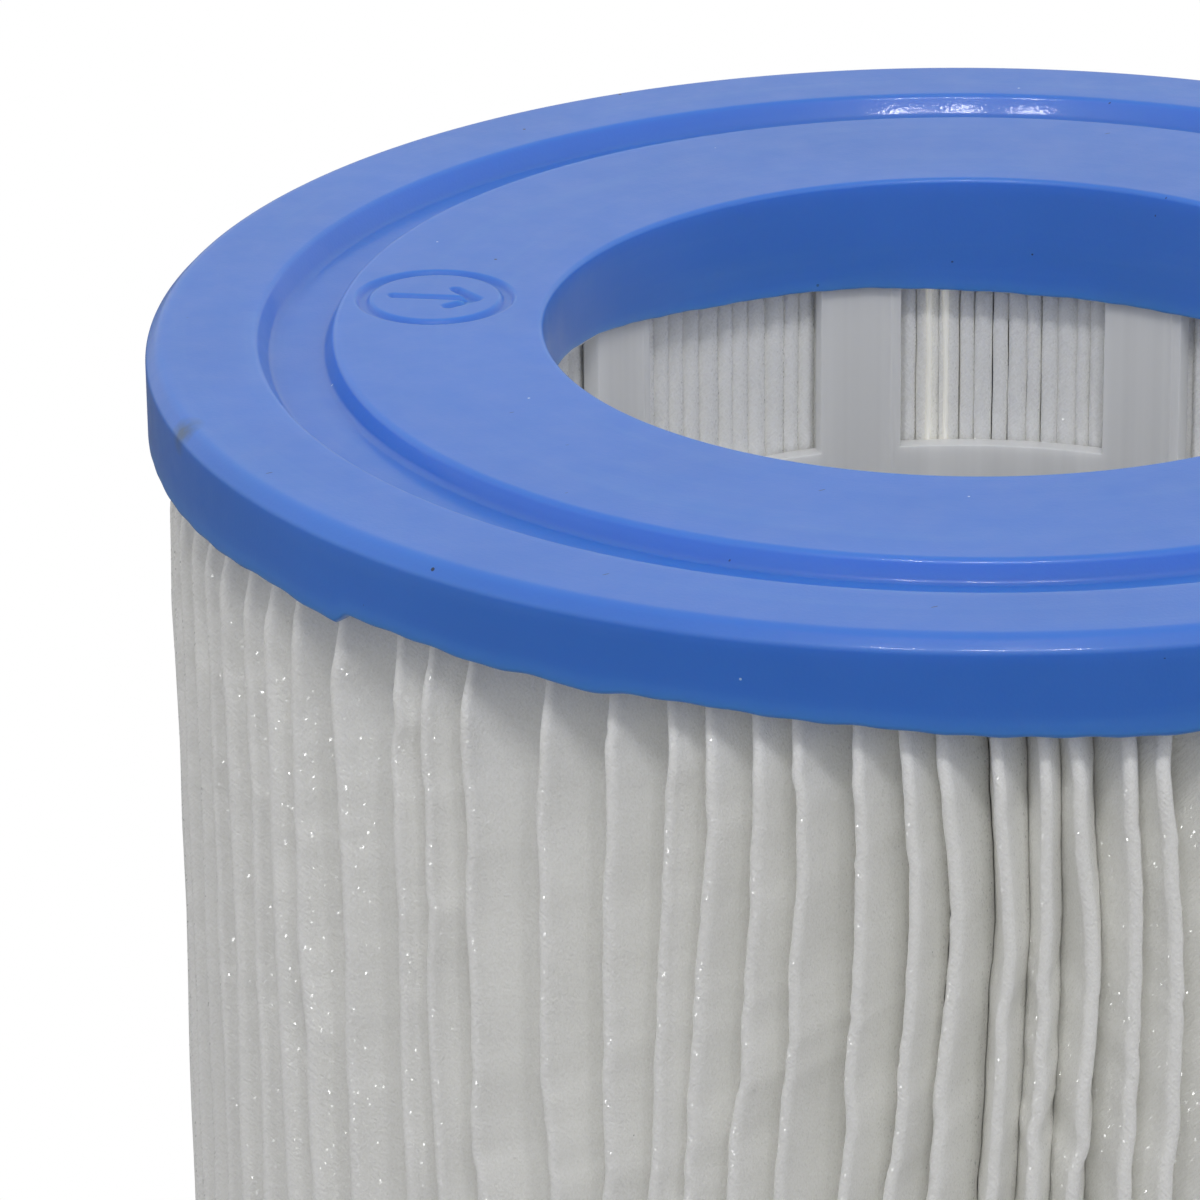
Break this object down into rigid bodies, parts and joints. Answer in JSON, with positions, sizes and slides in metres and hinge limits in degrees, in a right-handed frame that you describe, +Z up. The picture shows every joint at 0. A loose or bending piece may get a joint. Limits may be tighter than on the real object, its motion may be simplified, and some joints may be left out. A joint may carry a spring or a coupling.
{
  "type": "pleated filter cartridge",
  "caption": "Pleated fabric cartridge with two soft moulded end caps on a windowed core tube; water passes in through the pleats and out along the core.",
  "frame": {"origin": "centre of the bottom cap's lower face", "axes": "+Z up along the cartridge's axis, towards the cap with the engraved mark; +X and +Y across it, the pleats' seam near +Y"},
  "size_m": [0.106, 0.106, 0.136],
  "materials": {
    "cap": "satin soft moulded vinyl",
    "core": "translucent satin polypropylene",
    "media": "spunbond polyester",
    "adhesive": "set hot-melt adhesive"
  },
  "bodies": {
    "root": {"top_end_cap": "cap", "bottom_end_cap": "cap", "support_core": "core", "pleated_media": "media", "seam_beads": "adhesive"}
  },
  "joints": []
}
